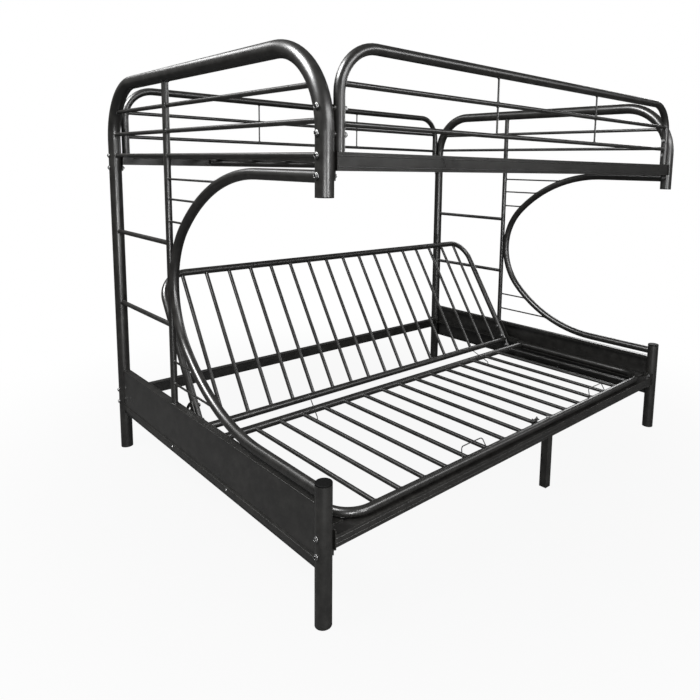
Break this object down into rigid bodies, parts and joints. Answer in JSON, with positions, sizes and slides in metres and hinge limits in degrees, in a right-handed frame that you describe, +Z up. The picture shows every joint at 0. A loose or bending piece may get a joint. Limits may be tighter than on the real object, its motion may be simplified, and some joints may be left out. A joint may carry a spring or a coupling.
{
  "type": "futon bunk bed",
  "caption": "Steel-tube bunk bed with a guarded upper bunk over a slatted sofa whose backrest folds flat to make a wide bed.",
  "frame": {"origin": "on the floor, under the middle of the bed", "axes": "+X along the bed's length towards its right end, +Y towards its back, +Z up"},
  "size_m": [2.1436, 1.5748, 1.651],
  "materials": {
    "black_paint": "semi-gloss black powder coat",
    "zinc_steel": "dark zinc plate",
    "black_plastic": "moulded black plastic"
  },
  "bodies": {
    "bed_frame": {"back_guard_tube": "black_paint", "centre_leg": "black_paint", "centre_leg_bolt": "zinc_steel", "centre_leg_foot": "black_plastic", "centre_leg_plate": "black_paint", "deck_slats": "black_paint", "deck_spine": "black_paint", "foot_plugs": "black_plastic", "front_guard_tube": "black_paint", "front_leg_caps": "black_plastic", "guard_bars": "black_paint", "guard_bolts": "zinc_steel", "guard_spacers": "black_paint", "guard_spindles": "black_paint", "hex_nuts": "zinc_steel", "hinge_bolts": "zinc_steel", "ladder_rungs": "black_paint", "left_arc_tube": "black_paint", "left_arch_tube": "black_paint", "left_end_bars": "black_paint", "left_end_panel": "black_paint", "left_front_leg": "black_paint", "left_hinge_bracket": "black_paint", "left_seat_ledge": "black_paint", "left_upright": "black_paint", "leg_bolts": "zinc_steel", "lower_front_rail": "black_paint", "lower_rail_plates": "black_paint", "mattress_loops": "black_paint", "panel_screws": "zinc_steel", "rear_stretcher": "black_paint", "right_arc_tube": "black_paint", "right_arch_tube": "black_paint", "right_end_bars": "black_paint", "right_end_panel": "black_paint", "right_front_leg": "black_paint", "right_hinge_bracket": "black_paint", "right_seat_ledge": "black_paint", "right_upright": "black_paint", "seat_clip_nuts": "zinc_steel", "seat_clip_plate": "black_paint", "seat_clip_rod": "black_paint", "seat_end_plugs": "black_plastic", "seat_frame_tube": "black_paint", "seat_rear_tube": "black_paint", "seat_slats": "black_paint", "spacer_rods": "black_paint", "stub_plugs": "black_plastic", "upper_back_rail": "black_paint", "upper_front_rail": "black_paint", "upper_rail_plates": "black_paint", "wire_arms": "black_paint"},
    "backrest": {"backrest_frame_tube": "black_paint", "backrest_lower_tube": "black_paint", "backrest_slats": "black_paint", "backrest_end_plugs": "black_plastic", "pivot_bolts": "zinc_steel", "pivot_nuts": "zinc_steel", "stop_studs": "zinc_steel"}
  },
  "joints": [
    {"name": "backrest_fold", "type": "hinge", "parent": "bed_frame", "child": "backrest", "pos_m": [0, 0.137, 0.3033], "axis": [-1, 0, 0], "range_deg": [0, 57]}
  ]
}
